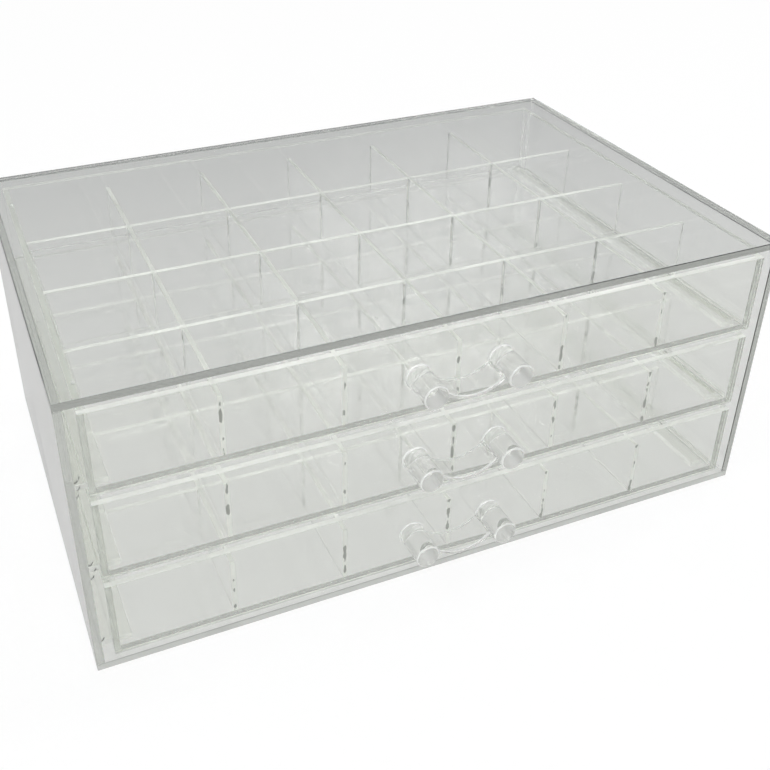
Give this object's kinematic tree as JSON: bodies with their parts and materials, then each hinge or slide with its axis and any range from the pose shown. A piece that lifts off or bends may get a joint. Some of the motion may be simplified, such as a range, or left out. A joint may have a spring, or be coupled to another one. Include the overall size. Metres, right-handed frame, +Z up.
{
  "type": "drawer organizer",
  "caption": "Clear acrylic case with stacked sliding drawers, each divided by an interlocked grid into square compartments and pulled by a twin-post handle.",
  "frame": {"origin": "centre of the case's underside, where it rests on the table", "axes": "+X to the right as one faces the drawers, +Y to the back, +Z up; the drawers slide out along -Y"},
  "size_m": [0.24, 0.1685, 0.1],
  "materials": {
    "case_sheet": "clear cast acrylic sheet, polished faces, sawn and polished edges",
    "rail_strip": "clear cast acrylic strip, polished faces, sawn edges",
    "drawer_sheet": "clear cast acrylic sheet, polished faces, sawn and polished edges",
    "divider_sheet": "thin clear acrylic sheet, polished faces, sawn edges",
    "moulded_handle": "clear injection-moulded acrylic, glossy"
  },
  "bodies": {
    "case": {"case_bottom": "case_sheet", "case_top": "case_sheet", "case_back": "case_sheet", "case_left": "case_sheet", "case_right": "case_sheet", "rail_bottom_left": "rail_strip", "rail_bottom_right": "rail_strip", "rail_middle_left": "rail_strip", "rail_middle_right": "rail_strip", "rail_top_left": "rail_strip", "rail_top_right": "rail_strip"},
    "drawer_bottom": {"drawer_bottom_front": "drawer_sheet", "drawer_bottom_back": "drawer_sheet", "drawer_bottom_left": "drawer_sheet", "drawer_bottom_right": "drawer_sheet", "drawer_bottom_floor": "drawer_sheet", "drawer_bottom_column_divider_1": "divider_sheet", "drawer_bottom_column_divider_2": "divider_sheet", "drawer_bottom_column_divider_3": "divider_sheet", "drawer_bottom_column_divider_4": "divider_sheet", "drawer_bottom_column_divider_5": "divider_sheet", "drawer_bottom_row_divider_1": "divider_sheet", "drawer_bottom_row_divider_2": "divider_sheet", "drawer_bottom_row_divider_3": "divider_sheet", "drawer_bottom_handle": "moulded_handle"},
    "drawer_middle": {"drawer_middle_front": "drawer_sheet", "drawer_middle_back": "drawer_sheet", "drawer_middle_left": "drawer_sheet", "drawer_middle_right": "drawer_sheet", "drawer_middle_floor": "drawer_sheet", "drawer_middle_column_divider_1": "divider_sheet", "drawer_middle_column_divider_2": "divider_sheet", "drawer_middle_column_divider_3": "divider_sheet", "drawer_middle_column_divider_4": "divider_sheet", "drawer_middle_column_divider_5": "divider_sheet", "drawer_middle_row_divider_1": "divider_sheet", "drawer_middle_row_divider_2": "divider_sheet", "drawer_middle_row_divider_3": "divider_sheet", "drawer_middle_handle": "moulded_handle"},
    "drawer_top": {"drawer_top_front": "drawer_sheet", "drawer_top_back": "drawer_sheet", "drawer_top_left": "drawer_sheet", "drawer_top_right": "drawer_sheet", "drawer_top_floor": "drawer_sheet", "drawer_top_column_divider_1": "divider_sheet", "drawer_top_column_divider_2": "divider_sheet", "drawer_top_column_divider_3": "divider_sheet", "drawer_top_column_divider_4": "divider_sheet", "drawer_top_column_divider_5": "divider_sheet", "drawer_top_row_divider_1": "divider_sheet", "drawer_top_row_divider_2": "divider_sheet", "drawer_top_row_divider_3": "divider_sheet", "drawer_top_handle": "moulded_handle"}
  },
  "joints": [
    {"name": "drawer_bottom_slide", "type": "slide", "parent": "case", "child": "drawer_bottom", "axis": [0, -1, 0], "range_m": [0, 0.12]},
    {"name": "drawer_middle_slide", "type": "slide", "parent": "case", "child": "drawer_middle", "axis": [0, -1, 0], "range_m": [0, 0.12]},
    {"name": "drawer_top_slide", "type": "slide", "parent": "case", "child": "drawer_top", "axis": [0, -1, 0], "range_m": [0, 0.12]}
  ]
}
